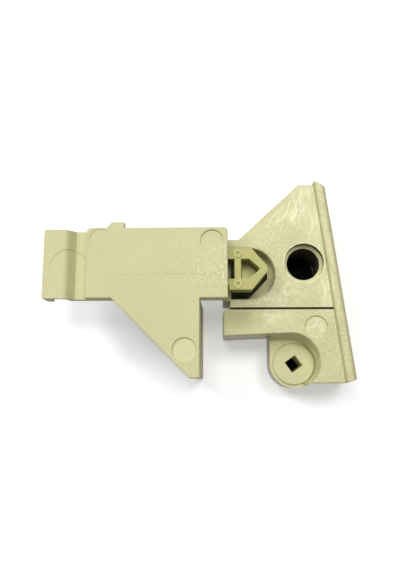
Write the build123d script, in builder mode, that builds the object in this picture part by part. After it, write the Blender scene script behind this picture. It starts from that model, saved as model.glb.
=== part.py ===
"""Cooker hood hinge: a moulded door bracket, a hooked arm that swings on it, and a square-drive bush.

Sizes are in millimetres. The origin is on the axis of the bracket's pivot bore, at the bracket's open back.
+Z runs along the hinge axes to the visible face, +X to the door flange and +Y to the top of the bracket.
"""

import os
from math import asin, cos, degrees, radians, tan

from build123d import *

# Moulding in general
running_clearance = 0.06
fit_clearance = 0.15
end_clearance = 0.3
snap_room = 0.4
edge_radius = 0.4
corner_radius = 0.8
mark_depth = 0.45
faint_mark_depth = 0.15
cut_reach = 120.0

# Bracket body, measured from the bore axis
bracket_depth = 18.0
front_wall = 2.2
side_wall = 2.2
rib_thickness = 1.8
tongue_reach = 26.0
tongue_top = 7.8
diagonal_foot = 20.9
diagonal_head = 1.3
body_top = 26.05
body_drop = 38.1
finger_drop = 22.7
finger_sag = 0.9

# Bracket bore
bore_radius = 5.3
bore_wall = 2.4
counterbore_radius = 6.3
counterbore_depth = 2.5

# Split line across the front of the bracket
split_drop = 14.7
split_width = 0.7
split_depth = 2.0
partition_thickness = 2.4
notch_width = 2.2
notch_height = 2.7
notch_round = 1.2

# Door flange, a leaning strip along the right side of the bracket
flange_reach = 7.0
flange_lean = 7.1
flange_thickness = 3.6
flange_rise = 1.2
flange_inner_round = 1.1
flange_outer_round = 1.5
flange_top = 27.5
flange_head_slope = 2.3
flange_foot_slope = 1.3

# Pivot of the arm: a socket with one round end, a deeper well in it and a bearing in the floor
pivot_x = -17.6
pivot_y = -3.2
socket_radius = 8.25
socket_drop = 0.25
socket_back = 5.8
socket_wall = 2.2
socket_ledge = 11.5
well_shoulder = 0.3
well_reach = 6.3
well_tip = 1.0
well_floor = 6.0
tongue_core = 4.0
journal_radius = 4.5
journal_core_radius = 2.2
journal_core_depth = 14.0
barb_height = 2.2
barb_reach = 0.6
prong_slot_width = 1.6
prong_slot_height = 8.0

# Ear of the bracket and the bush in it
bush_x = -3.3
bush_y = -32.0
ear_height = 11.0
ear_radius = 7.6
relief_radius = 8.8
relief_x = -4.8
relief_bevel = 0.3
relief_draft = 14.0
relief_turn = 50.0
bush_radius = 6.8
bush_proud = 0.4
bush_head_height = 5.4
bush_shank_radius = 5.0
bead_height = 1.3
bead_reach = 0.35
square_side = 4.05
square_turn = 36.0
square_chamfer = 0.2

# Ejector pin marks
mark_radius = 3.65
bracket_mark = (3.2, -20.7)
left_mark = (4.35, 4.0)
right_mark = (4.9, 4.5)
gusset_mark = (4.7, 8.4)

# Pivot insert
thrust_gap = 0.4
insert_thickness = 6.5
nose_reach = 5.25
nose_half_height = 6.5
nose_shoulder = 0.4
nose_tip = 0.7
nose_setback = 6.6
pocket_half_height = 3.15
pocket_back = 2.8
pocket_shoulder = 0.4
pocket_reach = 2.8
pocket_depth = 7.0
pocket_draft = 4.0
bar_width = 2.2
slot_length = 3.8
pad_radius = 1.35
pad_height = 0.35
pad_draft = 12.0
dimple_radius = 0.5
shank_length = 13.0
shank_half_height = 5.1
catch_length = 3.0
catch_height = 2.6
catch_reach = 0.7

# Arm, measured from the pivot axis
arm_setback = 7.0
arm_length = 43.65
arm_above = 12.7
arm_below = 9.4
arm_corner = 1.2
arm_depth = 6.0
arm_skin = 2.4
arm_wall = 2.0
channel_depth = 1.9
gusset_setback = 15.6
gusset_drop = 24.0
gusset_run = 27.0
gusset_tip = 3.2
stop_thickness = 2.4
stop_draft = 1.0
brace_thickness = 1.8
brace_reach = 7.0
brace_drop = 13.0
brace_shares = (0.25, 0.62)
tab_offset = 7.7
tab_width = 3.9
tab_ramp = 1.4
tab_height = 1.7
tab_thickness = 3.0

# Neck groove and hook at the end of the arm
neck_length = 3.75
groove_depth = 3.0
hook_above = 12.1
hook_radius = 4.8
hook_wall = 2.0
hook_slope = 53.0
hook_leg = 2.5
hook_corner = 1.0
hook_round = 2.3

# Levels that follow from the stack on the bracket's face
insert_low = bracket_depth + thrust_gap
insert_top = insert_low + insert_thickness
arm_face = insert_top + fit_clearance + arm_skin
arm_low = arm_face - arm_depth
neck_top = arm_face - groove_depth

# Places that follow from the pivot
pivot_axis = Axis((pivot_x, pivot_y, 0), (0, 0, 1))
arm_right = pivot_x - arm_setback
arm_left = arm_right - arm_length
arm_bottom = pivot_y - arm_below
arm_top = pivot_y + arm_above
gusset_right = pivot_x - gusset_setback
gusset_bottom = arm_bottom - gusset_drop
hook_top = pivot_y + hook_above
flank_foot = arm_left - neck_length
flank_head = flank_foot - groove_depth / tan(radians(hook_slope))
hook_z = arm_face - hook_radius
hook_x = flank_head - hook_radius * tan(radians(hook_slope / 2))

# Lower edge of the bracket's finger, which sags from the relief to the tip
relief_y = -finger_drop - relief_radius
finger_slope = finger_sag / (tongue_reach + relief_x)


def flange_x(height):
    """Place of the flange's inner face at a height above the bore axis."""
    return flange_reach - height * tan(radians(flange_lean))


def bracket_face(flange_shift):
    """Front outline of the bracket body, with its flange side moved out by flange_shift."""
    foot_angle = degrees(asin((-body_drop - relief_y) / relief_radius))
    shift = flange_shift / cos(radians(flange_lean))
    with BuildSketch() as face:
        with BuildLine():
            relief = CenterArc((relief_x, relief_y), relief_radius, foot_angle, 90 - foot_angle)
            Polyline(
                relief @ 1,
                (-tongue_reach, -finger_drop - finger_sag),
                (-tongue_reach, tongue_top),
                (-diagonal_foot, tongue_top),
                (-diagonal_head, body_top),
                (flange_x(body_top) + shift, body_top),
                (flange_x(-body_drop) + shift, -body_drop),
                relief @ 0,
            )
        make_face()
        fillet(face.vertices().group_by(Axis.X)[0], corner_radius)
    return face.sketch


def nosed_face(back, shoulder, reach, half_height, tip):
    """Outline round the pivot with a square left end and a V nose, blunt by twice tip, to the right."""
    with BuildSketch() as face:
        with BuildLine():
            Polyline(
                (pivot_x - back, pivot_y - half_height),
                (pivot_x + shoulder, pivot_y - half_height),
                (pivot_x + reach, pivot_y - tip),
                (pivot_x + reach, pivot_y + tip),
                (pivot_x + shoulder, pivot_y + half_height),
                (pivot_x - back, pivot_y + half_height),
                close=True,
            )
        make_face()
    return face.sketch


# Door flange, moulded with the bracket
with BuildPart() as flange:
    across = flange_thickness / cos(radians(flange_lean))
    head_y = flange_top - flange_head_slope
    foot_y = -body_drop + flange_foot_slope
    with BuildSketch():
        with BuildLine():
            Polyline(
                (flange_x(flange_top), flange_top),
                (flange_x(head_y) + across, head_y),
                (flange_x(foot_y) + across, foot_y),
                (flange_x(-body_drop), -body_drop),
                close=True,
            )
        make_face()
    extrude(amount=bracket_depth + flange_rise)
    long_edges = flange.faces().sort_by(Axis.Z)[-1].edges().sort_by(SortBy.LENGTH)[-2:].sort_by(Axis.X)
    fillet(long_edges[0], flange_inner_round)
    fillet(long_edges[1], flange_outer_round)
    end_edges = flange.edges().filter_by(GeomType.LINE).group_by(Axis.Z)[-1].sort_by(SortBy.LENGTH)[:2]
    fillet(end_edges, edge_radius)

# Bracket: an open-backed shell with tubes round its bores
with BuildPart() as bracket:
    with BuildSketch():
        add(bracket_face(0))
        with Locations((bush_x, bush_y)):
            Circle(ear_radius)
        with Locations((bush_x - ear_radius, bush_y)):
            ear_width = relief_x + relief_radius - bush_x + ear_radius
            Rectangle(ear_width, -finger_drop - bush_y, align=(Align.MIN, Align.MIN))
    extrude(amount=bracket_depth)

    # Drafted step down to the ear, which also bevels the lower edge of the finger
    with BuildSketch(Plane.XY.offset(bracket_depth)):
        with BuildLine():
            step_radius = relief_radius + relief_bevel
            step = CenterArc((relief_x, relief_y), step_radius, -relief_turn, 90 + relief_turn)
            Polyline(
                step @ 1,
                (relief_x - cut_reach, relief_y + step_radius - finger_slope * cut_reach),
                (relief_x - cut_reach, relief_y - cut_reach),
                ((step @ 0).X, relief_y - cut_reach),
                step @ 0,
            )
        make_face()
    extrude(amount=ear_height - bracket_depth, taper=relief_draft, mode=Mode.SUBTRACT)
    fillet(bracket.faces().sort_by(Axis.Z)[-1].edges().sort_by(Axis.X)[:-1], edge_radius)

    # Pivot socket with a softened rim, and the well under the insert's nose
    socket_y = pivot_y - socket_drop
    socket_left = pivot_x - socket_back
    with BuildSketch(Plane.XY.offset(socket_ledge)):
        with BuildLine():
            round_end = CenterArc((pivot_x, socket_y), socket_radius, -90, 180)
            Polyline(
                round_end @ 1,
                (socket_left, socket_y + socket_radius),
                (socket_left, socket_y - socket_radius),
                round_end @ 0,
            )
        make_face()
    extrude(amount=bracket_depth, mode=Mode.SUBTRACT)
    fillet(bracket.faces().sort_by(Axis.Z)[-1].inner_wires()[0].edges(), edge_radius)
    with BuildSketch(Plane.XY.offset(well_floor)):
        add(nosed_face(socket_back, -well_shoulder, well_reach, socket_radius - socket_drop, well_tip))
    extrude(amount=socket_ledge - well_floor, mode=Mode.SUBTRACT)

    # Hollow back, with ribs and the walls round the bore and the socket left standing
    finger_depth = finger_drop - split_drop
    with BuildSketch():
        add(bracket_face(side_wall))
        offset(amount=-side_wall)
        Circle(bore_radius + bore_wall, mode=Mode.SUBTRACT)
        with Locations((pivot_x, socket_y)):
            Circle(socket_radius + socket_wall, mode=Mode.SUBTRACT)
        with Locations((pivot_x + tongue_core, -split_drop)):
            Rectangle(cut_reach, split_drop + tongue_top, align=(Align.MAX, Align.MIN), mode=Mode.SUBTRACT)
        with Locations((0, -split_drop)):
            Rectangle(cut_reach, partition_thickness, mode=Mode.SUBTRACT)
        with Locations((-diagonal_head, 0)):
            Rectangle(rib_thickness, body_top, align=(Align.CENTER, Align.MIN), mode=Mode.SUBTRACT)
        with Locations((pivot_x, -split_drop), (relief_x, -split_drop)):
            Rectangle(rib_thickness, finger_depth, align=(Align.CENTER, Align.MAX), mode=Mode.SUBTRACT)
    extrude(amount=bracket_depth - front_wall, mode=Mode.SUBTRACT)
    add(flange.part)

    # Pivot bore with its counterbore
    with Locations((0, 0, bracket_depth)):
        CounterBoreHole(bore_radius, counterbore_radius, counterbore_depth)

    # Bearing in the floor of the well, and the recess for the snap end of the journal
    with BuildSketch():
        with Locations((pivot_x, pivot_y)):
            Circle(journal_radius + running_clearance)
    extrude(amount=well_floor, mode=Mode.SUBTRACT)
    with BuildSketch():
        with Locations((pivot_x, pivot_y)):
            Circle(journal_radius + barb_reach + snap_room)
    extrude(amount=barb_height + 2 * end_clearance, mode=Mode.SUBTRACT)

    # Stepped bore for the bush
    bush_shelf = ear_height + bush_proud - bush_head_height - end_clearance
    with BuildSketch(Plane.XY.offset(bush_shelf)):
        with Locations((bush_x, bush_y)):
            Circle(bush_radius + running_clearance)
    extrude(amount=bracket_depth, mode=Mode.SUBTRACT)
    with BuildSketch():
        with Locations((bush_x, bush_y)):
            Circle(bush_shank_radius + running_clearance)
    extrude(amount=bush_shelf, mode=Mode.SUBTRACT)
    with BuildSketch():
        with Locations((bush_x, bush_y)):
            Circle(bush_shank_radius + bead_reach + snap_room)
    extrude(amount=bead_height + 2 * end_clearance, mode=Mode.SUBTRACT)

    # Split line across the front
    with BuildSketch(Plane.XY.offset(bracket_depth - split_depth)):
        with Locations((flange_x(-split_drop), -split_drop)):
            Rectangle(cut_reach, split_width, align=(Align.MAX, Align.CENTER))
    extrude(amount=split_depth, mode=Mode.SUBTRACT)

    # Corner of the tongue cut away above the finger, whose own corner is rounded
    notch_low = -split_drop - split_width / 2
    with BuildSketch():
        with BuildLine():
            notch_x = notch_round - tongue_reach
            finger_corner = CenterArc((notch_x, notch_low - notch_round), notch_round, 90, 90)
            Polyline(
                finger_corner @ 0,
                (notch_width - tongue_reach, notch_low),
                (notch_width - tongue_reach, notch_low + notch_height),
                (-tongue_reach - notch_width, notch_low + notch_height),
                (-tongue_reach - notch_width, notch_low - notch_round),
                finger_corner @ 1,
            )
        make_face()
    extrude(amount=bracket_depth, mode=Mode.SUBTRACT)

    # Ejector mark
    with BuildSketch(Plane.XY.offset(bracket_depth - mark_depth)):
        with Locations(bracket_mark):
            Circle(mark_radius)
    extrude(amount=mark_depth, mode=Mode.SUBTRACT)
bracket.part.label = "bracket"

# Bush with a square drive hole, turning in the ear
with BuildPart() as square_bush:
    bush_top = ear_height + bush_proud
    shoulder = bush_top - bush_head_height
    with BuildSketch(Plane.XZ.offset(-bush_y)):
        with BuildLine():
            Polyline(
                (bush_x, end_clearance),
                (bush_x + bush_shank_radius, end_clearance),
                (bush_x + bush_shank_radius + bead_reach, end_clearance + bead_height / 2),
                (bush_x + bush_shank_radius, end_clearance + bead_height),
                (bush_x + bush_shank_radius, shoulder),
                (bush_x + bush_radius, shoulder),
                (bush_x + bush_radius, bush_top - edge_radius),
                (bush_x + bush_radius - edge_radius, bush_top),
                (bush_x, bush_top),
                close=True,
            )
        make_face()
    revolve(axis=Axis((bush_x, bush_y, 0), (0, 0, 1)))
    with BuildSketch():
        with Locations((bush_x, bush_y)):
            Rectangle(square_side, square_side, rotation=square_turn)
    extrude(amount=bush_top, mode=Mode.SUBTRACT)
    chamfer(square_bush.faces().sort_by(Axis.Z)[-1].inner_wires()[0].edges(), square_chamfer)
square_bush.part.label = "square_bush"

# Pivot insert: V-nosed head, shank held in the arm, and a split journal with a snap end
with BuildPart() as pivot_insert:
    nose_left = pivot_x - nose_setback
    shank_left = arm_right - shank_length
    with BuildSketch(Plane.XY.offset(insert_low)):
        add(nosed_face(nose_setback, nose_shoulder, nose_reach, nose_half_height, nose_tip))
        with Locations((shank_left, pivot_y)):
            Rectangle(nose_left - shank_left, 2 * shank_half_height, align=(Align.MIN, Align.CENTER))
    extrude(amount=insert_thickness)
    fillet(pivot_insert.edges().filter_by(Axis.Z).group_by(Axis.X)[-1], corner_radius)

    # Journal with a barbed end
    with BuildSketch(Plane.XZ.offset(-pivot_y)):
        with BuildLine():
            Polyline(
                (pivot_x, end_clearance),
                (pivot_x + journal_radius, end_clearance),
                (pivot_x + journal_radius + barb_reach, end_clearance + barb_height / 2),
                (pivot_x + journal_radius + barb_reach, end_clearance + barb_height),
                (pivot_x + journal_radius, end_clearance + barb_height),
                (pivot_x + journal_radius, insert_low),
                (pivot_x, insert_low),
                close=True,
            )
        make_face()
    revolve(axis=pivot_axis)
    with BuildSketch():
        with Locations((pivot_x, pivot_y)):
            Circle(journal_core_radius)
    extrude(amount=journal_core_depth, mode=Mode.SUBTRACT)
    with BuildSketch():
        with Locations((pivot_x, pivot_y)):
            Rectangle(cut_reach, prong_slot_width)
    extrude(amount=prong_slot_height, mode=Mode.SUBTRACT)

    # Drafted pocket behind the nose, and slot behind a rounded cross bar
    pocket_left = pivot_x - pocket_back
    slot_right = pocket_left - bar_width
    with BuildSketch(Plane.XY.offset(insert_top)):
        add(nosed_face(pocket_back, -pocket_shoulder, pocket_reach, pocket_half_height, nose_tip / 2))
    extrude(amount=-pocket_depth, taper=pocket_draft, mode=Mode.SUBTRACT)
    with BuildSketch(Plane.XY.offset(insert_low)):
        with Locations((slot_right, pivot_y)):
            Rectangle(slot_length, 2 * pocket_half_height, align=(Align.MAX, Align.CENTER))
    extrude(amount=insert_thickness, mode=Mode.SUBTRACT)
    top_edges = pivot_insert.faces().sort_by(Axis.Z)[-1].edges().filter_by(Axis.Y)
    bar_edges = top_edges.filter_by_position(Axis.X, slot_right - edge_radius, pocket_left + edge_radius)
    fillet(bar_edges, edge_radius)

    # Catches on both sides of the shank
    catch_x = shank_left + shank_length / 2
    catch_z = (insert_low + insert_top) / 2
    for side in (-1, 1):
        with BuildSketch(Plane.XY.offset(catch_z - catch_height / 2)):
            with BuildLine():
                Polyline(
                    (catch_x - catch_length / 2, pivot_y + side * shank_half_height),
                    (catch_x + catch_length / 2, pivot_y + side * (shank_half_height + catch_reach)),
                    (catch_x + catch_length / 2, pivot_y + side * shank_half_height),
                    close=True,
                )
            make_face()
        extrude(amount=catch_height)

    # Dimpled pads above and below the cross bar
    bar_x = pocket_left - bar_width / 2
    pad_y = (nose_half_height + pocket_half_height) / 2
    with BuildSketch(Plane.XY.offset(insert_top)):
        with Locations((bar_x, pivot_y - pad_y), (bar_x, pivot_y + pad_y)):
            Circle(pad_radius)
    extrude(amount=pad_height, taper=pad_draft)
    with BuildSketch(Plane.XY.offset(insert_top + pad_height - mark_depth)):
        with Locations((bar_x, pivot_y - pad_y), (bar_x, pivot_y + pad_y)):
            Circle(dimple_radius)
    extrude(amount=mark_depth, mode=Mode.SUBTRACT)
pivot_insert.part.label = "pivot_insert"

# Arm: a ribbed plate with gusset, stop wall, neck groove and hook
with BuildPart() as arm:
    with BuildSketch(Plane.XY.offset(arm_low)) as arm_outline:
        with BuildLine():
            Polyline(
                (arm_left, arm_bottom),
                (gusset_right - gusset_run, arm_bottom),
                (gusset_right - gusset_tip, gusset_bottom),
                (gusset_right, gusset_bottom),
                (gusset_right, arm_bottom),
                (arm_right, arm_bottom),
                (arm_right, arm_top),
                (arm_left, arm_top),
                close=True,
            )
        make_face()
        fillet(arm_outline.vertices().group_by(Axis.Y)[-1], arm_corner)
    extrude(amount=arm_depth)
    fillet(arm.faces().sort_by(Axis.Z)[-1].edges(), edge_radius)

    # Hollow underside with its ribs
    channel_y = shank_half_height + fit_clearance
    with BuildSketch(Plane.XY.offset(arm_low)):
        add(arm_outline.sketch)
        offset(amount=-arm_wall)
        with Locations((arm_left, pivot_y)):
            with Locations((0, channel_y), (0, -channel_y - rib_thickness)):
                Rectangle(arm_length, rib_thickness, align=(Align.MIN, Align.MIN), mode=Mode.SUBTRACT)
        with Locations((gusset_right - gusset_run / 2, arm_bottom)):
            Rectangle(rib_thickness, cut_reach, align=(Align.CENTER, Align.MAX), mode=Mode.SUBTRACT)
    extrude(amount=arm_depth - arm_skin, mode=Mode.SUBTRACT)

    # Deeper channel walls beside the shank, windows for its catches, and the open end it goes in by
    with BuildSketch(Plane.XY.offset(arm_low - channel_depth)):
        with Locations((arm_right, pivot_y)):
            with Locations((0, channel_y), (0, -channel_y - rib_thickness)):
                Rectangle(shank_length, rib_thickness, align=(Align.MAX, Align.MIN))
    extrude(amount=channel_depth + arm_wall)
    with BuildSketch(Plane.XY.offset(arm_low)):
        with Locations((arm_right, pivot_y)):
            Rectangle(2 * arm_wall, 2 * channel_y)
    extrude(amount=arm_depth - arm_skin, mode=Mode.SUBTRACT)
    with BuildSketch(Plane.XY.offset(catch_z - catch_height / 2 - fit_clearance)):
        with Locations((catch_x, pivot_y)):
            Rectangle(catch_length + 2 * fit_clearance, 2 * (channel_y + rib_thickness))
    extrude(amount=catch_height + 2 * fit_clearance, mode=Mode.SUBTRACT)

    # Stop wall under the gusset's edge, with its braces
    lean = arm_low * tan(radians(stop_draft))
    with BuildSketch(Plane.XZ.offset(-arm_bottom)):
        with BuildLine():
            Polyline(
                (gusset_right - stop_thickness, arm_low),
                (gusset_right, arm_low),
                (gusset_right + lean, 0),
                (gusset_right + lean - stop_thickness, 0),
                close=True,
            )
        make_face()
    extrude(amount=gusset_drop)
    brace_root = gusset_right - stop_thickness / 2
    for share in brace_shares:
        with BuildSketch(Plane.XZ.offset(share * gusset_drop - arm_bottom)):
            with BuildLine():
                Polyline(
                    (brace_root, arm_face - arm_skin),
                    (brace_root - brace_reach, arm_face - arm_skin),
                    (brace_root - brace_reach, arm_low),
                    (brace_root, arm_low - brace_drop),
                    close=True,
                )
            make_face()
        extrude(amount=brace_thickness / 2, both=True)

    # Neck and hook, one section drawn across the arm: a flat crown, a sloped flank and a round saddle
    hook_bore = hook_radius - hook_wall
    neck_root = arm_left + arm_wall
    with BuildSketch(Plane.XZ.offset(-hook_top)) as hook_section:
        with BuildLine():
            saddle = CenterArc((hook_x, hook_z), hook_bore, 0, 180)
            Polyline(
                saddle @ 1,
                (hook_x - hook_bore, hook_z - hook_leg),
                (hook_x - hook_radius, hook_z - hook_leg),
                (hook_x - hook_radius, arm_face),
                (flank_head, arm_face),
                (flank_foot, neck_top),
                (neck_root, neck_top),
                (neck_root, arm_low),
                (hook_x + hook_bore, arm_low),
                saddle @ 0,
            )
        make_face()
        crown = hook_section.vertices().group_by(Axis.Y)[-1].sort_by(Axis.X)
        fillet(crown[1], hook_round)
        fillet(crown[0], hook_corner)
    extrude(amount=hook_top - arm_bottom)

    # Tab on the top edge, ramped on its hook side
    tab_left = arm_left + tab_offset
    tab_top = arm_top + tab_height
    tab_root = arm_top - arm_wall
    with BuildSketch(Plane.XY.offset(arm_face - tab_thickness)):
        with BuildLine():
            Polyline(
                (tab_left - tab_ramp, tab_root),
                (tab_left + tab_width, tab_root),
                (tab_left + tab_width, tab_top),
                (tab_left, tab_top),
                (tab_left - tab_ramp, arm_top),
                close=True,
            )
        make_face()
    extrude(amount=tab_thickness)

    # Ejector marks on the face, the one beside the hook fainter
    with BuildSketch(Plane.XY.offset(arm_face - mark_depth)):
        with Locations(
            (arm_right - right_mark[0], arm_top - right_mark[1]),
            (gusset_right - gusset_mark[0], gusset_bottom + gusset_mark[1]),
        ):
            Circle(mark_radius)
    extrude(amount=mark_depth, mode=Mode.SUBTRACT)
    with BuildSketch(Plane.XY.offset(arm_face - faint_mark_depth)):
        with Locations((arm_left + left_mark[0], arm_top - left_mark[1])):
            Circle(mark_radius)
    extrude(amount=faint_mark_depth, mode=Mode.SUBTRACT)
arm.part.label = "arm"

os.makedirs("parts", exist_ok=True)
for piece in (bracket, arm, pivot_insert, square_bush):
    export_step(piece.part, f"parts/{piece.part.label}.step")
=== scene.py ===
"""Looks of a cooker hood hinge: the finishes of its four moulded pieces, and the studio that it lies in.

The finishes work in millimetres on the part's own frame, and the studio in metres.
"""

import logging
from dataclasses import dataclass
from enum import Enum
from math import pi
from typing import Any, Dict, List, Optional, Tuple, Union

import bpy
from mathutils import Matrix, Vector

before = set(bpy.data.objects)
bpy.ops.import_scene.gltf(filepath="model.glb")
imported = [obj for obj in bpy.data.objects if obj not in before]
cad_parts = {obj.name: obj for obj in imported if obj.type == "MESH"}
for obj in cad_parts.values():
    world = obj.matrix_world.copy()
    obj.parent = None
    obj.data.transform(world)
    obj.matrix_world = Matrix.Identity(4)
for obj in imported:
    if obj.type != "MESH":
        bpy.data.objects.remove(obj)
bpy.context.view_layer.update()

LOG = logging.getLogger("hood_hinge")

Colour = Tuple[float, float, float]
Point2 = Tuple[float, float]
Point3 = Tuple[float, float, float]

# The deep and light colours serve the plastic's own clouds, specks and pits, and also the painted shade and painted
# highlights that the marks lay; the clean wax colour is a painted pool of light and the black is painted shade.
CREAM = (0.640, 0.618, 0.345)
CREAM_DEEP = (0.470, 0.445, 0.215)
CREAM_LIGHT = (0.900, 0.870, 0.580)
WAX = (0.470, 0.455, 0.155)
WAX_DEEP = (0.340, 0.325, 0.090)
WAX_LIGHT = (0.780, 0.760, 0.480)
WAX_LIT = (0.970, 0.940, 0.460)
SHADE_BLACK = (0.030, 0.028, 0.016)
GLOSS_TINT = (1.0, 0.96, 0.72)

MM_PER_M = 1000.0
UNBOUNDED = 1000.0  # millimetres, past any part of the hinge
FRONT_FADE = 0.2  # millimetres of height over which a mark on a face starts
EDGE_SOFT = 0.3  # millimetres over which painted shade ends at a limit
FOOT_SOFT = 2.0  # the same where a bore's painted shade thins out round a rim
LINE_END_SOFT = 1.5  # the same where a sink line runs out
PATCH_CORE = 0.15  # share of a patch's reach where it is at its full strength
SHADOW_CORE = 0.1  # the same for a painted shadow
STREAK_SOFT = 0.16  # how gently the streaks' noise becomes a streak
STREAK_DEPTH = 30.0  # millimetres that a streak reaches into the piece
BORE_SHADE_BAND = (0.25, 0.10)  # millimetres outside a bore's wall where its painted shade ends
FLOOR_BAND = (0.12, 0.04)  # millimetres from a floor's level where its colour ends
RIM_BAND = (0.35, 0.60)  # noise levels between which a rim's painted highlight or shade comes in
CLOUD_BAND = (0.30, 0.70)  # the same for clouds in the colour
SPECK_BAND = (0.52, 0.72)  # the same for pale specks
PIT_BAND = (0.48, 0.28)  # the same for dark pits
RIDGE_BAND = (-0.3, 0.7)  # the same for the ridges of a ripple
SIDE_SPECKS = 0.3  # share of the specks that the sides keep
PLASTIC_IOR = 1.48


class CadNode(Enum):
    """The moulded pieces of the hinge, by the names of their solids."""

    BRACKET = "bracket"
    ARM = "arm"
    PIVOT_INSERT = "pivot_insert"
    SQUARE_BUSH = "square_bush"


class LampRole(Enum):
    """What a lamp does for the picture."""

    KEY = "key"
    GLOSS = "gloss"
    SIDE = "side"


class Sock:
    """An output socket that takes part in Python arithmetic."""

    def __init__(self, book: "NodeBook", socket: bpy.types.NodeSocket) -> None:
        """Keeps the socket and the node book that it belongs to."""
        self.book = book
        self.socket = socket

    def _math(self, operation: str, first: "Operand", second: "Operand") -> "Sock":
        """Adds a Math node.

        Args:
            operation: the node's operation.
            first: its first value.
            second: its second value.

        Returns:
            The node's result.
        """
        return self.book.add("ShaderNodeMath", {"operation": operation}, {0: first, 1: second})

    def __add__(self, other: "Operand") -> "Sock":
        """The sum."""
        return self._math("ADD", self, other)

    def __radd__(self, other: "Operand") -> "Sock":
        """The sum, from the right."""
        return self._math("ADD", other, self)

    def __sub__(self, other: "Operand") -> "Sock":
        """The difference."""
        return self._math("SUBTRACT", self, other)

    def __rsub__(self, other: "Operand") -> "Sock":
        """The difference, from the right."""
        return self._math("SUBTRACT", other, self)

    def __mul__(self, other: "Operand") -> "Sock":
        """The product."""
        return self._math("MULTIPLY", self, other)

    def __rmul__(self, other: "Operand") -> "Sock":
        """The product, from the right."""
        return self._math("MULTIPLY", other, self)

    def __pow__(self, other: "Operand") -> "Sock":
        """The power."""
        return self._math("POWER", self, other)

    def __abs__(self) -> "Sock":
        """The size without its sign."""
        return self._math("ABSOLUTE", self, 0.0)

    def sibling(self, output: int) -> "Sock":
        """Another output of the same node."""
        return Sock(self.book, self.socket.node.outputs[output])


Operand = Union[Sock, float, Colour]


class NodeBook:
    """The node tree of one material or world, and the ways to add to it."""

    def __init__(self, tree: bpy.types.NodeTree) -> None:
        """Takes over a node tree and empties it."""
        self.tree = tree
        self.tree.nodes.clear()

    def add(
        self,
        kind: str,
        settings: Optional[Dict[str, Any]] = None,
        sockets: Optional[Dict[Union[int, str], Any]] = None,
        output: int = 0,
    ) -> Sock:
        """Adds any node.

        Args:
            kind: the node's type.
            settings: its own settings, set before its sockets.
            sockets: values or links for its inputs, by name or place.
            output: the output that is wanted.

        Returns:
            That output.
        """
        node = self.tree.nodes.new(kind)
        for name, value in (settings or {}).items():
            setattr(node, name, value)
        for key, value in (sockets or {}).items():
            self.feed(node.inputs[key], value)
        return Sock(self, node.outputs[output]) if len(node.outputs) else Sock(self, node.inputs[0])

    def feed(self, entry: bpy.types.NodeSocket, value: Any) -> None:
        """Links a socket to an input, or sets the input's value.

        Args:
            entry: the input.
            value: a socket, a number, a vector or a colour.
        """
        if isinstance(value, Sock):
            self.tree.links.new(value.socket, entry)
        elif entry.type == "RGBA":
            entry.default_value = (*value[:3], 1.0)
        else:
            entry.default_value = value

    def blend(self, share: Operand, first: Operand, second: Operand) -> Sock:
        """Mixes two colours.

        Args:
            share: how much of the second colour there is, from 0 to 1.
            first: the colour at 0.
            second: the colour at 1.

        Returns:
            The mixed colour.
        """
        return self.add("ShaderNodeMix", {"data_type": "RGBA"}, {0: share, 6: first, 7: second}, output=2)

    def step(self, value: Sock, low: float, high: float) -> Sock:
        """A smooth step.

        Args:
            value: the value that is tested.
            low: where the step is 0.
            high: where the step is 1; it may be below low.

        Returns:
            The step, from 0 to 1.
        """
        bounds = {"Value": value, "From Min": low, "From Max": high}
        return self.add("ShaderNodeMapRange", {"interpolation_type": "SMOOTHSTEP"}, bounds)

    def laid(self, place: Sock, centre: Point2, turn: float, pitch: Point3) -> Sock:
        """A place in a pattern that is centred, turned and stretched on the part.

        Args:
            place: the place on the part in millimetres.
            centre: the pattern's centre across X and Y.
            turn: its turn about Z, in radians.
            pitch: the length of one unit of the pattern along each of its axes.

        Returns:
            The place in the pattern's own units.
        """
        fit = {"Vector": place, "Location": (*centre, 0.0), "Rotation": (0.0, 0.0, turn), "Scale": pitch}
        return self.add("ShaderNodeMapping", {"vector_type": "TEXTURE"}, fit)

    def noise(self, place: Sock, scale: float, detail: float = 2.0, rough: float = 0.5) -> Sock:
        """Soft noise around a half.

        Args:
            place: the place in the pattern.
            scale: spots to a unit.
            detail: finer layers on top.
            rough: how strong those layers are.

        Returns:
            The noise, from 0 to 1.
        """
        return self.add(
            "ShaderNodeTexNoise",
            {"noise_dimensions": "3D"},
            {"Vector": place, "Scale": scale, "Detail": detail, "Roughness": rough},
        )

    def ripple(self, place: Sock, centre: Point2, turn: float, spacing: float) -> Sock:
        """Long parallel ridges, a little uneven.

        Args:
            place: the place on the part in millimetres.
            centre: the pattern's centre across X and Y.
            turn: the way the ridges run, in radians from X.
            spacing: millimetres from one ridge to the next.

        Returns:
            The ridges, from 0 to 1.
        """
        rows = self.laid(place, centre, turn, (spacing, spacing, spacing))
        across = self.add("ShaderNodeSeparateXYZ", sockets={0: rows}, output=1)
        sway = self.noise(rows, 0.30, detail=1.0)
        wave = self.add("ShaderNodeMath", {"operation": "SINE"}, {0: (across + sway * 2.0) * (2.0 * pi)})
        return self.step(wave, *RIDGE_BAND)


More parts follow.
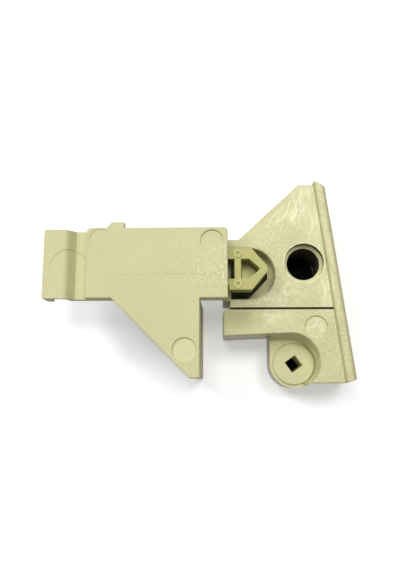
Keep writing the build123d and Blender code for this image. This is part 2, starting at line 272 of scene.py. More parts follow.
@dataclass
class Skin:
    """What the finish has laid down so far at each point of a surface, in millimetres."""

    book: NodeBook
    place: Sock
    x: Sock
    y: Sock
    z: Sock
    colour: Operand
    roughness: Operand
    relief: Operand

    def from_axis(self, centre: Point2) -> Sock:
        """The distance from an axis along Z.

        Args:
            centre: where the axis stands.

        Returns:
            The distance in millimetres.
        """
        return ((self.x - centre[0]) ** 2.0 + (self.y - centre[1]) ** 2.0) ** 0.5

    def over(self, level: float, fade: float = FRONT_FADE) -> Sock:
        """One from a height upwards, and nought below it.

        Args:
            level: the height.
            fade: how far below it the change starts.

        Returns:
            The share, from 0 to 1.
        """
        return self.book.step(self.z, level - fade, level)

    def oval(self, centre: Point2, reach: Point2, lie: float = 0.0) -> Sock:
        """How far out a point lies in an oval that ends at 1.

        Args:
            centre: the oval's centre.
            reach: its two half lengths.
            lie: its turn about Z, in radians.

        Returns:
            The distance in parts of the oval.
        """
        turned = self.book.laid(self.place, centre, lie, (*reach, UNBOUNDED))
        return self.book.add("ShaderNodeVectorMath", {"operation": "LENGTH"}, {0: turned}, output=1)


@dataclass(frozen=True)
class FlowPatch:
    """A patch where the melt's flow has left fine streaks; their colour, paler over the patch and on each streak, is
    painted highlight, and the streaks also carry gloss and relief.
    """

    centre: Point2
    reach: Point2
    lie: float
    turn: float
    pitch: Point2
    wash: float
    pale: float
    gloss: float
    ridge: float
    onset: float = 0.50
    comb: float = 0.0

    def lay(self, skin: Skin, light: Colour) -> None:
        """Adds the patch to a skin.

        Args:
            skin: the skin that takes the patch.
            light: the colour that the streaks lean to.
        """
        book = skin.book
        inside = book.step(skin.oval(self.centre, self.reach, self.lie), 1.0, PATCH_CORE)
        lines = book.laid(skin.place, self.centre, self.turn, (*self.pitch, STREAK_DEPTH))
        streak = book.noise(lines, 1.0)
        sharp = book.step(streak, self.onset, self.onset + STREAK_SOFT)
        if self.comb:
            sharp = sharp * book.ripple(skin.place, self.centre, self.turn, self.comb)
        # painted highlight: the colour leans paler over the patch and on each streak
        skin.colour = book.blend(inside * (sharp * self.pale + self.wash), skin.colour, light)
        skin.roughness = skin.roughness - inside * sharp * self.gloss
        skin.relief = skin.relief + inside * streak * self.ridge


@dataclass(frozen=True)
class PinMark:
    """The round witness of an ejector pin: a shallow step, painted shade in its upper rim where light from above would
    not reach, and a paler floor.
    """

    centre: Point2
    radius: float
    depth: float
    above: float
    rim_shade: float
    bloom: float = 0.0
    around: float = 0.0
    edge: float = 0.16

    def lay(self, skin: Skin, deep: Colour, light: Colour) -> None:
        """Adds the mark to a skin.

        Args:
            skin: the skin that takes the mark.
            deep: the colour of the painted shade in the step.
            light: the colour that the floor leans to.
        """
        book = skin.book
        away = skin.from_axis(self.centre)
        front = skin.over(self.above)
        floor = book.step(away, self.radius + self.edge, self.radius - self.edge) * front
        line = book.step(abs(away - self.radius), 2.0 * self.edge, 0.0) * front
        # painted shade: the rim's line darkens only on its upper side, which faces away from the light
        upper = book.step(skin.y, self.centre[1] - 0.3 * self.radius, self.centre[1] + 0.7 * self.radius)
        upper = upper * (1.0 - self.around) + self.around
        skin.relief = skin.relief - floor * self.depth
        skin.colour = book.blend(floor * self.bloom, skin.colour, light)
        skin.colour = book.blend(line * upper * self.rim_shade, skin.colour, deep)


@dataclass(frozen=True)
class PaintedRim:
    """A rim painted paler as a highlight or darker as shade, here and there."""

    centre: Point2
    radius: float
    width: float
    above: float
    share: float
    colour: Colour

    def lay(self, skin: Skin) -> None:
        """Adds the ring to a skin.

        Args:
            skin: the skin that takes the ring.
        """
        book = skin.book
        away = skin.from_axis(self.centre)
        front = skin.over(self.above)
        rim = book.step(abs(away - self.radius), self.width, 0.0) * front
        patchy = book.step(book.noise(skin.place, 0.8, detail=1.0), *RIM_BAND)
        # painted highlight or painted shade along the rim, by the ring's colour
        skin.colour = book.blend(rim * patchy * self.share, skin.colour, self.colour)


@dataclass(frozen=True)
class LitFloor:
    """The floor of a pocket, painted paler: a pool of light against the shade that its depth casts."""

    level: float
    colour: Colour
    share: float

    def lay(self, skin: Skin) -> None:
        """Adds the floor to a skin.

        Args:
            skin: the skin that takes the floor.
        """
        book = skin.book
        floor = book.step(abs(skin.z - self.level), *FLOOR_BAND)
        # painted light: the pocket floor's colour is lifted
        skin.colour = book.blend(floor * self.share, skin.colour, self.colour)


@dataclass(frozen=True)
class BoreShade:
    """Painted shade down the wall of a round bore along Z, kept right of left, above foot and over bottom; the wall is
    dulled there too.
    """

    centre: Point2
    radius: float
    top: float
    fade: float
    colour: Colour
    share: float
    left: float = -UNBOUNDED
    foot: float = -UNBOUNDED
    bottom: float = -UNBOUNDED
    dull: float = 0.45

    def lay(self, skin: Skin) -> None:
        """Adds the painted shade to a skin.

        Args:
            skin: the skin that takes the painted shade.
        """
        book = skin.book
        away = skin.from_axis(self.centre)
        outer, inner = BORE_SHADE_BAND
        wall = book.step(away, self.radius + outer, self.radius + inner)
        below = book.step(skin.z, self.top, self.top - self.fade)
        inside = book.step(skin.x, self.left - EDGE_SOFT, self.left) * skin.over(self.bottom, EDGE_SOFT)
        inside = inside * book.step(skin.y, self.foot - FOOT_SOFT, self.foot + FOOT_SOFT)
        patchy = book.noise(skin.place, 0.35, detail=3.0) * 0.4 + 0.8
        painted_bore_shade = wall * below * inside * patchy * self.share
        # painted shade: the colour darkens down the bore's wall
        skin.colour = book.blend(painted_bore_shade, skin.colour, self.colour)
        skin.roughness = skin.roughness + painted_bore_shade * self.dull


@dataclass(frozen=True)
class PaintedGlint:
    """A ragged pale spot: a painted glint."""

    centre: Point3
    radius: float
    colour: Colour
    share: float

    def lay(self, skin: Skin) -> None:
        """Adds the glint to a skin.

        Args:
            skin: the skin that takes the glint.
        """
        book = skin.book
        ends = {0: skin.place, 1: self.centre}
        away = book.add("ShaderNodeVectorMath", {"operation": "DISTANCE"}, ends, output=1)
        ragged = book.noise(skin.place, 1.6)
        spot = book.step(away + ragged * self.radius, 1.5 * self.radius, 0.9 * self.radius)
        # painted glint: the colour leans pale in a ragged spot
        skin.colour = book.blend(spot * self.share, skin.colour, self.colour)


@dataclass(frozen=True)
class PaintedShadow:
    """A soft darker place: a painted shadow that another piece casts."""

    centre: Point2
    reach: Point2
    above: float
    share: float
    fade: float = 0.4

    def lay(self, skin: Skin, deep: Colour) -> None:
        """Adds the painted shadow to a skin.

        Args:
            skin: the skin that takes the painted shadow.
            deep: the colour of the painted shadow.
        """
        book = skin.book
        spot = book.step(skin.oval(self.centre, self.reach), 1.0, SHADOW_CORE) * skin.over(self.above, self.fade)
        # painted shadow: the colour darkens where a piece above would shade the face
        skin.colour = book.blend(spot * self.share, skin.colour, deep)


@dataclass(frozen=True)
class EdgeShade:
    """Painted shade along an edge that leans away from Y."""

    foot: float
    lean: float
    width: float
    above: float
    share: float
    fade: float = 0.4

    def lay(self, skin: Skin, deep: Colour) -> None:
        """Adds the painted shade to a skin.

        Args:
            skin: the skin that takes the painted shade.
            deep: the colour of the painted shade.
        """
        book = skin.book
        away = abs(skin.x + skin.y * self.lean - self.foot)
        patchy = book.noise(skin.place, 0.55, detail=3.0) * 0.8 + 0.6
        line = book.step(away, self.width, 0.0) * skin.over(self.above, self.fade)
        # painted shade: the colour darkens along the edge
        skin.colour = book.blend(line * patchy * self.share, skin.colour, deep)


@dataclass(frozen=True)
class GrooveShade:
    """Painted shade in a straight groove along X."""

    level: float
    end: float
    half_width: float
    top: float
    depth: float
    colour: Colour
    share: float
    soft: float = 0.1

    def lay(self, skin: Skin) -> None:
        """Adds the painted shade to a skin.

        Args:
            skin: the skin that takes the painted shade.
        """
        book = skin.book
        across = book.step(abs(skin.y - self.level), self.half_width + self.soft, self.half_width)
        inside = book.step(skin.z, self.top, self.top - EDGE_SOFT) * skin.over(self.top - self.depth)
        inside = inside * book.step(skin.x, self.end, self.end - EDGE_SOFT)
        skin.colour = book.blend(across * inside * self.share, skin.colour, self.colour)


@dataclass(frozen=True)
class SinkLine:
    """A faint straight dip where a rib behind the face has drawn it in; its darker colour is painted shade."""

    start: float
    end: float
    level: float
    width: float
    depth: float
    above: float
    shade: float

    def lay(self, skin: Skin, deep: Colour) -> None:
        """Adds the line to a skin.

        Args:
            skin: the skin that takes the line.
            deep: the colour that the dip leans to.
        """
        book = skin.book
        begun = book.step(skin.x, self.start - LINE_END_SOFT, self.start + LINE_END_SOFT)
        along = begun * book.step(skin.x, self.end + LINE_END_SOFT, self.end - LINE_END_SOFT)
        dip = book.step(abs(skin.y - self.level), self.width, 0.0) * along * skin.over(self.above)
        skin.relief = skin.relief - dip * self.depth
        # painted shade: the colour darkens along the dip
        skin.colour = book.blend(dip * self.shade, skin.colour, deep)


@dataclass(frozen=True)
class MouldedPlastic:
    """A moulded plastic: its colours, its gloss and the grain of its mould."""

    name: str
    pale: Colour
    deep: Colour
    light: Colour
    roughness: float
    gloss_spread: float
    cloud_mm: float
    cloud_share: float
    grain_mm: float
    grain_depth: float
    speck_mm: float
    speck_share: float
    pit_share: float
    speck_from: float = -1.0

    def base(self, book: NodeBook) -> Skin:
        """Lays the plain skin: clouds in the colour, the mould's grain, and sandy specks and pits.

        Args:
            book: the material's nodes.

        Returns:
            The skin, ready for marks.
        """
        metres = book.add("ShaderNodeTexCoord", output=3)
        place = book.add("ShaderNodeVectorMath", {"operation": "SCALE"}, {0: metres, "Scale": MM_PER_M})
        x = book.add("ShaderNodeSeparateXYZ", sockets={0: place})
        y, z = x.sibling(1), x.sibling(2)
        front = book.step(z, self.speck_from - 1.0, self.speck_from) * (1.0 - SIDE_SPECKS) + SIDE_SPECKS
        cloud = book.noise(place, 1.0 / self.cloud_mm, detail=4.0, rough=0.55)
        grain = book.noise(place, 1.0 / self.grain_mm, detail=2.0, rough=0.6)
        sand = book.noise(place, 1.0 / self.speck_mm, detail=1.0)
        colour = book.blend(book.step(cloud, *CLOUD_BAND) * self.cloud_share, self.pale, self.deep)
        colour = book.blend(book.step(sand, *SPECK_BAND) * front * self.speck_share, colour, self.light)
        colour = book.blend(book.step(sand, *PIT_BAND) * front * self.pit_share, colour, self.deep)
        roughness = self.roughness + (grain - 0.5) * self.gloss_spread + (cloud - 0.5) * self.gloss_spread
        return Skin(book, place, x, y, z, colour, roughness, grain * self.grain_depth)

    def marks(self, skin: Skin) -> None:
        """Adds what is special to this finish; a plain one has nothing more."""

    def material(self) -> bpy.types.Material:
        """Makes the material.

        Returns:
            The new material.
        """
        made = bpy.data.materials.new(self.name)
        made.use_nodes = True
        book = NodeBook(made.node_tree)
        skin = self.base(book)
        self.marks(skin)
        bump = book.add("ShaderNodeBump", sockets={"Strength": 1.0, "Distance": 1.0 / MM_PER_M, "Height": skin.relief})
        surface = {
            "Base Color": skin.colour, "Roughness": skin.roughness, "Normal": bump,
            "IOR": PLASTIC_IOR, "Specular Tint": GLOSS_TINT,
        }
        shader = book.add("ShaderNodeBsdfPrincipled", sockets=surface)
        book.add("ShaderNodeOutputMaterial", sockets={"Surface": shader})
        return made


@dataclass(frozen=True)
class FlowedPlastic(MouldedPlastic):
    """A glossier plastic with the streaks of its flow and pin marks, painted paler or darker rims, painted shade and
    shadow along edges, in its groove and bores, and a painted glint.
    """

    patches: Tuple[FlowPatch, ...] = ()
    pins: Tuple[PinMark, ...] = ()
    painted_rims: Tuple[PaintedRim, ...] = ()
    painted_shade: Tuple[Union[EdgeShade, PaintedShadow], ...] = ()
    grooves: Tuple[GrooveShade, ...] = ()
    bore_shade: Tuple[BoreShade, ...] = ()
    glints: Tuple[PaintedGlint, ...] = ()

    def marks(self, skin: Skin) -> None:
        """Adds the streaked patches, the painted rims, the pin marks, the painted shadow and shade by the edges, in
        the grooves and in the bores, and the painted glints.
        """
        for patch in self.patches:
            patch.lay(skin, self.light)
        for ring in self.painted_rims:
            ring.lay(skin)
        for pin in self.pins:
            pin.lay(skin, self.deep, self.light)
        for edge in self.painted_shade:
            edge.lay(skin, self.deep)
        for groove in self.grooves:
            groove.lay(skin)
        for painted_bore_shade in self.bore_shade:
            painted_bore_shade.lay(skin)
        for glint in self.glints:
            glint.lay(skin)


@dataclass(frozen=True)
class SatinPlastic(MouldedPlastic):
    """A satin plastic with pin marks, faint sink lines and patches of painted sparkle."""

    pins: Tuple[PinMark, ...] = ()
    sinks: Tuple[SinkLine, ...] = ()
    patches: Tuple[FlowPatch, ...] = ()

    def marks(self, skin: Skin) -> None:
        """Adds the pin marks, the sink lines and the patches of painted sparkle."""
        for pin in self.pins:
            pin.lay(skin, self.deep, self.light)
        for sink in self.sinks:
            sink.lay(skin, self.deep)
        for patch in self.patches:
            patch.lay(skin, self.light)


@dataclass(frozen=True)
class WaxyPlastic(MouldedPlastic):
    """A waxy plastic with painted highlights on its rims, painted shade round its pivot and a painted pool of light on
    its pocket floor.
    """

    painted_rims: Tuple[PaintedRim, ...] = ()
    bore_shade: Tuple[BoreShade, ...] = ()
    lit_floors: Tuple[LitFloor, ...] = ()

    def marks(self, skin: Skin) -> None:
        """Adds the painted rim highlights, the painted shade and the painted floor light."""
        for ring in self.painted_rims:
            ring.lay(skin)
        for painted_bore_shade in self.bore_shade:
            painted_bore_shade.lay(skin)
        for floor in self.lit_floors:
            floor.lay(skin)


@dataclass
class MouldedPiece:
    """One moulded piece of the hinge, which keeps its solid and gets its finish."""

    node: CadNode

    def finish(self) -> MouldedPlastic:
        """The piece's finish."""
        raise NotImplementedError

    def dress(self) -> bpy.types.Object:
        """Puts the finish on the piece's solid.

        Returns:
            The piece's object.
        """
        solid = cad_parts[self.node.value]
        solid.data.materials.clear()
        solid.data.materials.append(self.finish().material())
        return solid


@dataclass
class Bracket(MouldedPiece):
    """The door bracket: a glossy moulding with streaks round its bore and down its finger."""

    node: CadNode = CadNode.BRACKET
    upper_field: Point2 = (-5.5, 15.0)
    upper_streak: Point2 = (-1.5, 16.5)
    top_field: Point2 = (0.3, 22.5)
    flange_field: Point2 = (7.0, -9.5)
    right_field: Point2 = (3.6, 12.0)
    bore_hatch: Point2 = (-8.0, -10.0)
    finger_hatch: Point2 = (-10.0, -17.5)
    rim_hatch: Point2 = (-14.5, -11.8)
    right_hatch: Point2 = (-3.0, -10.8)
    finger_blob: Point2 = (-11.5, -17.8)
    finger_shadow: Point2 = (-24.0, -17.5)
    mark: Point2 = (3.2, -20.7)
    mark_radius: float = 3.65
    bore_radius: float = 5.3
    counterbore_radius: float = 6.3
    rim_radius: float = 6.45
    bore_glint: Point3 = (5.25, 0.70, 2.2)
    socket: Point2 = (-17.6, -3.45)
    socket_radius: float = 8.75
    split_level: float = -14.7
    split_end: float = 9.6
    well: Point2 = (-17.6, -3.2)
    well_radius: float = 9.0
    flange_foot: float = 7.0
    flange_lean: float = 0.1246
    flange_middle: Point2 = (9.5, -5.5)
    flange_turn: float = 1.695

    def finish(self) -> MouldedPlastic:
        """The bracket's finish.

        Returns:
            The glossy plastic with its streaked patches.
        """
        turn = self.flange_turn
        # The patches' paler colour is painted highlight over the flow streaks.
        patches = (
            FlowPatch(
                self.upper_field, reach=(14.0, 6.5), lie=0.85, turn=0.95, pitch=(3.2, 0.55), wash=0.12,
                pale=0.55, gloss=0.12, ridge=0.045,
            ),
            FlowPatch(
                self.upper_streak, reach=(9.0, 3.5), lie=1.50, turn=1.45, pitch=(3.2, 0.55), wash=0.08,
                pale=0.50, gloss=0.12, ridge=0.045,
            ),
            FlowPatch(
                self.top_field, reach=(6.0, 5.0), lie=0.0, turn=1.45, pitch=(3.2, 0.55), wash=0.18, pale=0.36,
                gloss=0.10, ridge=0.030,
            ),
            FlowPatch(
                self.flange_field, reach=(8.5, 4.2), lie=1.70, turn=1.60, pitch=(3.2, 0.55), wash=0.30,
                pale=0.45, gloss=0.12, ridge=0.040,
            ),
            FlowPatch(
                self.right_field, reach=(13.0, 5.0), lie=1.70, turn=1.50, pitch=(3.2, 0.55), wash=0.20,
                pale=0.42, gloss=0.12, ridge=0.040,
            ),
            FlowPatch(
                self.bore_hatch, reach=(10.5, 5.0), lie=0.50, turn=-1.08, pitch=(1.3, 1.30), wash=0.03,
                pale=0.95, gloss=0.12, ridge=0.070, onset=0.40, comb=0.62,
            ),
            FlowPatch(
                self.finger_hatch, reach=(8.5, 4.5), lie=-0.30, turn=-1.10, pitch=(1.5, 1.30), wash=0.02,
                pale=0.80, gloss=0.12, ridge=0.070, onset=0.42, comb=0.66,
            ),
            FlowPatch(
                self.rim_hatch, reach=(6.5, 3.2), lie=0.35, turn=-1.02, pitch=(1.6, 1.30), wash=0.03, pale=0.90,
                gloss=0.12, ridge=0.070, onset=0.40, comb=0.64,
            ),
            FlowPatch(
                self.right_hatch, reach=(8.0, 3.6), lie=-0.10, turn=-0.60, pitch=(2.4, 0.90), wash=0.02,
                pale=0.60, gloss=0.10, ridge=0.050, onset=0.45, comb=0.70,
            ),
            FlowPatch(
                self.finger_blob, reach=(3.6, 2.2), lie=-0.60, turn=-0.90, pitch=(1.8, 1.10), wash=0.20,
                pale=0.50, gloss=0.12, ridge=0.060,
            ),
            FlowPatch(
                self.mark, reach=(4.2, 4.2), lie=0.80, turn=0.80, pitch=(2.0, 0.60), wash=0.05, pale=0.70,
                gloss=0.10, ridge=0.030,
            ),
            FlowPatch(
                self.flange_middle, reach=(40.0, 4.0), lie=turn, turn=turn, pitch=(3.0, 0.60), wash=0.0,
                pale=0.26, gloss=0.06, ridge=0.030,
            ),
        )
        # The pin mark's darker upper rim is painted shade.
        pins = (
            PinMark(self.mark, radius=self.mark_radius, depth=0.0, above=17.0, rim_shade=0.85, bloom=0.20, around=0.45),
        )
        # Painted highlight on the bore's lower rim, and painted shade in a ring round the socket.
        painted_rims = (
            PaintedRim((0.0, 0.0), radius=self.rim_radius, width=0.50, above=17.5, share=0.80, colour=CREAM_LIGHT),
            PaintedRim(self.socket, radius=self.socket_radius, width=0.90, above=17.0, share=0.60, colour=CREAM_DEEP),
        )
        # Painted shadow of the arm on the finger, and painted shade in the flange's inner crease and down its outer
        # side.
        painted_shade = (
            PaintedShadow(self.finger_shadow, reach=(14.0, 8.0), above=17.0, share=0.80),
            EdgeShade(self.flange_foot + 0.15, lean=self.flange_lean, width=0.60, above=17.6, share=0.70),
            EdgeShade(self.flange_foot + 3.75, lean=self.flange_lean, width=1.90, above=18.0, share=0.90, fade=9.0),
        )
        # Painted shade deep in the bore, on the counterbore's wall and in the socket's well.
        bore_shade = (
            BoreShade((0.0, 0.0), radius=self.bore_radius, top=15.4, fade=1.0, colour=SHADE_BLACK, share=0.97),
            BoreShade(
                (0.0, 0.0), radius=self.counterbore_radius, top=18.1, fade=0.4, colour=SHADE_BLACK, share=0.95,
                foot=0.0, bottom=16.0,
            ),
            BoreShade(
                self.well, radius=self.well_radius, top=11.4, fade=0.4, colour=SHADE_BLACK, share=0.85, left=-24.0,
                bottom=5.8,
            ),
        )
        # Painted shade in the split groove.
        split = GrooveShade(
            self.split_level, end=self.split_end, half_width=0.36, top=17.95, depth=2.0, colour=SHADE_BLACK, share=0.85
        )
        return FlowedPlastic(
            "cream_flowed_plastic", CREAM, CREAM_DEEP, CREAM_LIGHT, roughness=0.39, gloss_spread=0.24,
            cloud_mm=9.0, cloud_share=0.34, grain_mm=0.80, grain_depth=0.085, speck_mm=0.75, speck_share=0.34,
            pit_share=0.34, speck_from=13.0, patches=patches, pins=pins, painted_rims=painted_rims, painted_shade=painted_shade,
            grooves=(split,), bore_shade=bore_shade,
            # A painted glint low on the bore's wall.
            glints=(PaintedGlint(self.bore_glint, radius=2.0, colour=CREAM_LIGHT, share=1.0),),
        )


@dataclass
class SwingArm(MouldedPiece):
    """The swing arm: a satin moulding with a pin mark over its hook and faint sink lines."""

    node: CadNode = CadNode.ARM
    hook_pin: Point2 = (-73.5, -2.9)
    hook_pin_radius: float = 5.6
    left_mark: Point2 = (-63.9, 5.5)
    right_mark: Point2 = (-29.5, 5.0)
    gusset_mark: Point2 = (-37.9, -28.2)
    mark_radius: float = 3.65
    long_sink: float = -5.3
    short_sink: float = -9.2
    field: Point2 = (-34.0, -2.0)
    sparkle: Point2 = (-26.5, -4.0)
    near_neck: Point2 = (-66.5, -7.5)
    hook_end: Point2 = (-76.0, -10.5)

    def finish(self) -> MouldedPlastic:
        """The arm's finish.

        Returns:
            The satin plastic with its marks.
        """
        # The pin marks' darker upper rims are painted shade.
        pins = (
            PinMark(self.hook_pin, radius=self.hook_pin_radius, depth=0.06, above=22.0, rim_shade=0.85),
            PinMark(self.left_mark, radius=self.mark_radius, depth=0.0, above=26.0, rim_shade=0.30, around=0.20),
            PinMark(self.right_mark, radius=self.mark_radius, depth=0.0, above=26.0, rim_shade=0.85, around=0.15),
            PinMark(
                self.gusset_mark, radius=self.mark_radius, depth=0.0, above=26.0, rim_shade=0.85, bloom=0.25,
                around=0.25,
            ),
        )
        # The sink lines' darker colour is painted shade.
        sinks = (
            SinkLine(-62.0, end=-27.0, level=self.long_sink, width=0.35, depth=0.012, above=26.0, shade=0.25),
            SinkLine(-45.0, end=-30.0, level=self.long_sink, width=0.35, depth=0.012, above=26.0, shade=0.20),
            SinkLine(-38.0, end=-25.0, level=self.short_sink, width=0.30, depth=0.010, above=26.0, shade=0.30),
        )
        # The sparkle is painted highlight in the colour, over fine relief.
        sparkle = (
            FlowPatch(
                self.field, reach=(24.0, 13.0), lie=0.0, turn=0.0, pitch=(0.75, 0.75), wash=0.0, pale=0.45,
                gloss=0.12, ridge=0.030, onset=0.54,
            ),
            FlowPatch(
                self.sparkle, reach=(12.0, 12.0), lie=0.0, turn=0.0, pitch=(0.70, 0.70), wash=0.0, pale=0.95,
                gloss=0.16, ridge=0.050, onset=0.55,
            ),
            FlowPatch(
                self.near_neck, reach=(6.0, 6.0), lie=0.0, turn=0.0, pitch=(0.75, 0.75), wash=0.0, pale=0.70,
                gloss=0.12, ridge=0.030, onset=0.60,
            ),
            FlowPatch(
                self.hook_end, reach=(7.0, 4.5), lie=0.0, turn=0.0, pitch=(0.75, 0.75), wash=0.0, pale=0.70,
                gloss=0.12, ridge=0.030, onset=0.60,
            ),
        )
        return SatinPlastic(
            "cream_satin_plastic", CREAM, CREAM_DEEP, CREAM_LIGHT, roughness=0.55, gloss_spread=0.14,
            cloud_mm=12.0, cloud_share=0.12, grain_mm=0.60, grain_depth=0.022, speck_mm=0.60, speck_share=0.13,
            pit_share=0.11, pins=pins, sinks=sinks, patches=sparkle,
        )


@dataclass
class PivotInsert(MouldedPiece):
    """The snap-in pivot insert: a yellower, waxy bearing plastic."""

    node: CadNode = CadNode.PIVOT_INSERT
    upper_pad: Point2 = (-21.5, 1.625)
    lower_pad: Point2 = (-21.5, -8.025)
    pad_radius: float = 1.10
    pocket_floor: float = 17.9
    pivot: Point2 = (-17.6, -3.2)
    shade_radius: float = 9.5

    def finish(self) -> MouldedPlastic:
        """The insert's finish.

        Returns:
            The waxy plastic.
        """
        # Painted shade on the insert's walls below its top face.
        bore_shade = (
            BoreShade(self.pivot, radius=self.shade_radius, top=24.6, fade=3.0, colour=SHADE_BLACK, share=0.52),
        )
        # Painted highlight on the rims of the two pads.
        painted_rims = tuple(
            PaintedRim(pad, radius=self.pad_radius, width=0.45, above=25.0, share=0.34, colour=WAX_LIGHT)
            for pad in (self.upper_pad, self.lower_pad)
        )
        # The pocket floor's paler colour is a painted pool of light.
        return WaxyPlastic(
            "waxy_bearing_plastic", WAX, WAX_DEEP, WAX_LIGHT, roughness=0.44, gloss_spread=0.12,
            cloud_mm=5.0, cloud_share=0.15, grain_mm=0.60, grain_depth=0.018, speck_mm=0.50, speck_share=0.06,
            pit_share=0.10, painted_rims=painted_rims, bore_shade=bore_shade, lit_floors=(LitFloor(self.pocket_floor, WAX_LIT, 0.95),),
        )


@dataclass
class SquareBush(MouldedPiece):
    """The bush with the square drive: the bracket's plastic, worn smooth by turning."""

    node: CadNode = CadNode.SQUARE_BUSH

    def finish(self) -> MouldedPlastic:
        """The bush's finish.

        Returns:
            The smooth plastic.
        """
        return MouldedPlastic(
            "cream_bush_plastic", CREAM, CREAM_DEEP, CREAM_LIGHT, roughness=0.46, gloss_spread=0.12,
            cloud_mm=6.0, cloud_share=0.18, grain_mm=0.60, grain_depth=0.028, speck_mm=0.55, speck_share=0.18,
            pit_share=0.14,
        )


@dataclass(frozen=True)
class Lamp:
    """A soft square lamp that faces the hinge."""

    role: LampRole
    place: Point3
    size: float
    power: float

    def hang(self, aim: Vector) -> bpy.types.Object:
        """Hangs the lamp.

        Args:
            aim: the point that it faces.

        Returns:
            The lamp's object.
        """
        data = bpy.data.lights.new(f"lamp_{self.role.value}", "AREA")
        data.shape = "SQUARE"
        data.size = self.size
        data.energy = self.power
        lamp = bpy.data.objects.new(data.name, data)
        bpy.context.scene.collection.objects.link(lamp)
        lamp.location = self.place
        lamp.rotation_euler = (aim - Vector(self.place)).to_track_quat("-Z", "Y").to_euler()
        return lamp


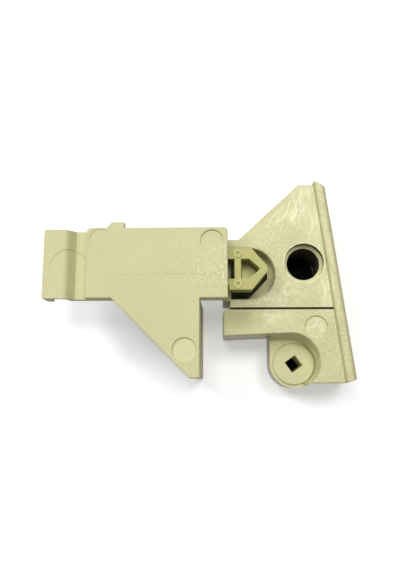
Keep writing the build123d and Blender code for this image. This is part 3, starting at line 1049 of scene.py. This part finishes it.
@dataclass
class Studio:
    """The white table, the lamps, the world and the camera."""

    camera_place: Point3 = (-0.028256, -0.037504, 0.198)
    camera_aim: Point3 = (-0.033376, -0.007104, 0.018)
    lens: float = 36.04
    sensor: float = 36.0
    floor_side: float = 4.0
    floor_drop: float = 0.0003
    floor_white: float = 1.0
    floor_bounce: float = 0.04
    floor_lift: float = 0.34
    pad_drop: float = 0.0001
    pad_shade: float = 0.01
    pad_sides: int = 48
    bore_pad: Point2 = (0.0, 0.0)
    bore_pad_radius: float = 0.0065
    bush_pad: Point2 = (-0.0033, -0.032)
    bush_pad_radius: float = 0.0045
    clip_start: float = 0.005
    ambient: float = 0.26

    def lamps(self) -> List[Lamp]:
        """The lamps of the studio."""
        return [
            Lamp(LampRole.KEY, place=(-0.16, 0.22, 0.96), size=0.24, power=1.7),
            Lamp(LampRole.GLOSS, place=(0.22, 0.31, 0.95), size=0.32, power=3.0),
            Lamp(LampRole.SIDE, place=(-0.58, 0.50, 0.66), size=0.36, power=4.2),
        ]

    def seen(self, book: NodeBook) -> Sock:
        """One where a camera, mirror or glass ray looks, and nought for light that falls on things."""
        path = book.add("ShaderNodeLightPath")
        outputs = path.socket.node.outputs
        shown = [Sock(book, outputs[name]) for name in ("Is Camera Ray", "Is Glossy Ray", "Is Transmission Ray")]
        clamped = {"operation": "ADD", "use_clamp": True}
        return book.add("ShaderNodeMath", clamped, {0: shown[0] + shown[1], 1: shown[2]})

    def build_floor(self) -> bpy.types.Object:
        """Makes the white floor, which keeps the hinge's shadow.

        Returns:
            The floor's object.
        """
        bpy.ops.object.select_all(action="DESELECT")
        bpy.ops.mesh.primitive_plane_add(size=self.floor_side, location=(0.0, 0.0, -self.floor_drop))
        floor = bpy.context.active_object
        floor.name = "white_floor"
        made = bpy.data.materials.new("white_floor_paint")
        made.use_nodes = True
        book = NodeBook(made.node_tree)
        seen = self.seen(book)
        shade = book.blend(seen, (self.floor_bounce,) * 3, (self.floor_white,) * 3)
        paint = book.add("ShaderNodeBsdfDiffuse", sockets={"Color": shade})
        lift = book.add("ShaderNodeEmission", sockets={"Strength": seen * self.floor_lift})
        both = book.add("ShaderNodeAddShader", sockets={0: paint, 1: lift})
        book.add("ShaderNodeOutputMaterial", sockets={"Surface": both})
        floor.data.materials.append(made)
        return floor

    def build_pad(self, name: str, centre: Point2, radius: float) -> bpy.types.Object:
        """Lays a dark pad on the floor under a hole, a painted shade seen through it, where the hinge hides its edge.

        Args:
            name: the pad's name.
            centre: its centre in metres.
            radius: its radius in metres.

        Returns:
            The pad's object.
        """
        bpy.ops.object.select_all(action="DESELECT")
        bpy.ops.mesh.primitive_circle_add(
            vertices=self.pad_sides, radius=radius, fill_type="NGON", location=(*centre, -self.pad_drop)
        )
        pad = bpy.context.active_object
        pad.name = name
        pad_paint = bpy.data.materials.get("hole_shade_pad") or bpy.data.materials.new("hole_shade_pad")
        pad_paint.use_nodes = True
        book = NodeBook(pad_paint.node_tree)
        shade = book.add("ShaderNodeBsdfDiffuse", sockets={"Color": (self.pad_shade,) * 3})
        book.add("ShaderNodeOutputMaterial", sockets={"Surface": shade})
        pad.data.materials.append(pad_paint)
        return pad

    def build_world(self) -> None:
        """Makes the world: white where it is seen, and a soft grey for its light."""
        world = bpy.data.worlds.new("white_room")
        world.use_nodes = True
        book = NodeBook(world.node_tree)
        soft = book.add("ShaderNodeBackground", sockets={"Color": (1.0, 1.0, 1.0), "Strength": self.ambient})
        white = book.add("ShaderNodeBackground", sockets={"Color": (1.0, 1.0, 1.0), "Strength": 1.0})
        both = book.add("ShaderNodeMixShader", sockets={0: self.seen(book), 1: soft, 2: white})
        book.add("ShaderNodeOutputWorld", sockets={"Surface": both})
        bpy.context.scene.world = world

    def build_camera(self) -> bpy.types.Object:
        """Sets up the camera.

        Returns:
            The camera's object.
        """
        data = bpy.data.cameras.new("front_camera")
        data.lens = self.lens
        data.sensor_width = self.sensor
        data.clip_start = self.clip_start
        camera = bpy.data.objects.new("front_camera", data)
        bpy.context.scene.collection.objects.link(camera)
        camera.location = self.camera_place
        ahead = (Vector(self.camera_aim) - Vector(self.camera_place)).normalized()
        right = ahead.cross(Vector((0.0, 1.0, 0.0))).normalized()
        camera.rotation_euler = Matrix((right, right.cross(ahead), -ahead)).transposed().to_euler()
        bpy.context.scene.camera = camera
        return camera

    def build(self) -> None:
        """Builds the whole studio."""
        bpy.context.scene.view_settings.view_transform = "Standard"
        self.build_floor()
        # Dark pads under the bore and the bush: painted shade seen through the holes.
        self.build_pad("bore_pad", self.bore_pad, self.bore_pad_radius)
        self.build_pad("bush_pad", self.bush_pad, self.bush_pad_radius)
        self.build_world()
        for lamp in self.lamps():
            lamp.hang(Vector(self.camera_aim))
        self.build_camera()


def main() -> None:
    """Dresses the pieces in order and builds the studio."""
    logging.basicConfig(level=logging.INFO, format="%(name)s: %(message)s")
    for piece in (Bracket(), SwingArm(), PivotInsert(), SquareBush()):
        solid = piece.dress()
        LOG.info("%s wears %s", solid.name, solid.data.materials[0].name)
    Studio().build()
    LOG.info("the studio is ready")


if __name__ == "__main__":
    main()
